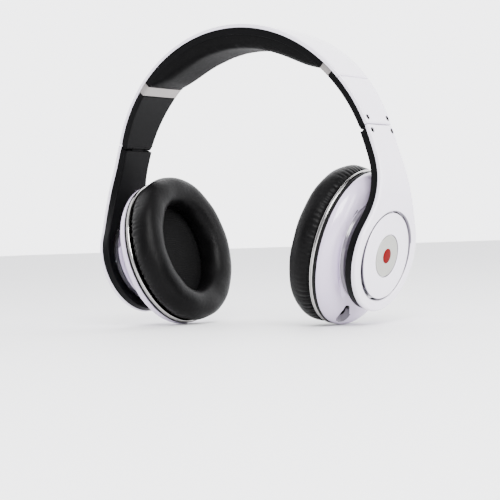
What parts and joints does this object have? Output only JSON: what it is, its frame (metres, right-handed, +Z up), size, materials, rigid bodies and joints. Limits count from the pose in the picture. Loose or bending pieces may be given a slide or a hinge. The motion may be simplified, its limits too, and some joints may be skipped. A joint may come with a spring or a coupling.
{
  "type": "over-ear headphones",
  "caption": "Folding over-ear headphones with a padded headband, telescoping arms, gimballed oval ear cups and a jack socket.",
  "frame": {"origin": "underside of the head cushion at the crown of the headband", "axes": "+X toward the wearer's left, -Y toward the wearer's front, +Z up"},
  "size_m": [0.201, 0.0832, 0.1785],
  "materials": {
    "white_shell": "white gloss with a faint lavender cast",
    "black_liner": "soft-touch black",
    "head_pad": "soft black padding",
    "steel": "plain steel",
    "satin_metal": "satin",
    "dark_screw": "blackened",
    "seal": "black rubber",
    "bright_trim": "polished",
    "dark_plastic": "moulded black",
    "magnet": "plated",
    "diaphragm": "translucent film",
    "screen_cloth": "woven mesh",
    "ear_leather": "pleated soft black leatherette",
    "circuit_board": "solder mask",
    "badge": "spun satin",
    "battery": "wrapped cell",
    "lens": "tinted"
  },
  "bodies": {
    "headband": {"headband_shell": "white_shell", "headband_spring": "steel", "headband_liner": "black_liner", "headband_cushion": "head_pad", "headband_screws": "steel", "left_slide_guide": "black_liner", "right_slide_guide": "black_liner", "left_end_collar": "satin_metal", "right_end_collar": "satin_metal"},
    "left_slider": {"left_slider_shell": "white_shell", "left_slider_rail": "satin_metal", "left_slider_liner": "black_liner", "left_hinge_pin": "steel", "left_slider_screws": "dark_screw"},
    "left_arm": {"left_arm_shell": "white_shell", "left_arm_liner": "black_liner", "left_arm_screws": "dark_screw"},
    "left_gimbal": {"left_gimbal_ring": "steel"},
    "left_cup": {"left_cup_housing": "white_shell", "left_seal_ring": "seal", "left_trim_ring": "bright_trim", "left_baffle": "dark_plastic", "left_baffle_screws": "steel", "left_driver_frame": "dark_plastic", "left_driver_magnet": "magnet", "left_diaphragm": "diaphragm", "left_ear_screen": "screen_cloth", "left_ear_cushion": "ear_leather", "left_circuit_board": "circuit_board", "jack_socket": "dark_plastic", "battery_holder": "dark_plastic", "battery_cell": "battery"},
    "right_slider": {"right_slider_shell": "white_shell", "right_slider_rail": "satin_metal", "right_slider_liner": "black_liner", "right_hinge_pin": "steel", "right_slider_screws": "dark_screw"},
    "right_arm": {"right_arm_shell": "white_shell", "right_arm_liner": "black_liner", "right_arm_screws": "dark_screw"},
    "right_gimbal": {"right_gimbal_ring": "steel"},
    "right_cup": {"right_cup_housing": "white_shell", "right_seal_ring": "seal", "right_trim_ring": "bright_trim", "right_baffle": "dark_plastic", "right_baffle_screws": "steel", "right_driver_frame": "dark_plastic", "right_driver_magnet": "magnet", "right_diaphragm": "diaphragm", "right_ear_screen": "screen_cloth", "right_ear_cushion": "ear_leather", "right_circuit_board": "circuit_board", "mute_switch": "dark_plastic", "status_lens": "lens"},
    "battery_door": {"battery_cover": "white_shell", "left_badge": "badge"},
    "mute_disc": {"mute_button": "white_shell", "right_badge": "badge"},
    "power_slide": {"power_switch": "dark_plastic"}
  },
  "joints": [
    {"name": "left_extend", "type": "hinge", "parent": "headband", "child": "left_slider", "pos_m": [0, 0, -0.0825], "axis": [0, 1, 0], "range_deg": [0, 12]},
    {"name": "left_fold", "type": "hinge", "parent": "left_slider", "child": "left_arm", "pos_m": [0.08721, 0, -0.05196], "axis": [0, 1, 0], "range_deg": [0, 75]},
    {"name": "left_tilt", "type": "hinge", "parent": "left_arm", "child": "left_gimbal", "pos_m": [0.08728, 0, -0.1239], "axis": [0, -1, 0], "range_deg": [-5.5, 3.2]},
    {"name": "left_swivel", "type": "hinge", "parent": "left_gimbal", "child": "left_cup", "pos_m": [0.08728, 0, -0.1239], "axis": [0.2198, 0, 0.9755], "range_deg": [-5, 3]},
    {"name": "right_extend", "type": "hinge", "parent": "headband", "child": "right_slider", "pos_m": [0, 0, -0.0825], "axis": [0, 1, 0], "range_deg": [-12, 0]},
    {"name": "right_fold", "type": "hinge", "parent": "right_slider", "child": "right_arm", "pos_m": [-0.08721, 0, -0.05196], "axis": [0, 1, 0], "range_deg": [-75, 0]},
    {"name": "right_tilt", "type": "hinge", "parent": "right_arm", "child": "right_gimbal", "pos_m": [-0.08728, 0, -0.1239], "axis": [0, 1, 0], "range_deg": [-5.5, 3.2]},
    {"name": "right_swivel", "type": "hinge", "parent": "right_gimbal", "child": "right_cup", "pos_m": [-0.08728, 0, -0.1239], "axis": [0.2198, 0, -0.9755], "range_deg": [-5, 3]},
    {"name": "battery_door_pull", "type": "slide", "parent": "left_cup", "child": "battery_door", "axis": [0.9752, 0.0262, -0.2198], "range_m": [0, 0.008]},
    {"name": "mute_press", "type": "slide", "parent": "right_cup", "child": "mute_disc", "axis": [0.9752, -0.0262, 0.2198], "range_m": [0, 0.001], "stiffness_N_per_m": 900, "springref_m": -0.0012},
    {"name": "power_slide_move", "type": "slide", "parent": "right_cup", "child": "power_slide", "axis": [-0.2768, 0.1253, 0.9527], "range_m": [0, 0.003]}
  ]
}
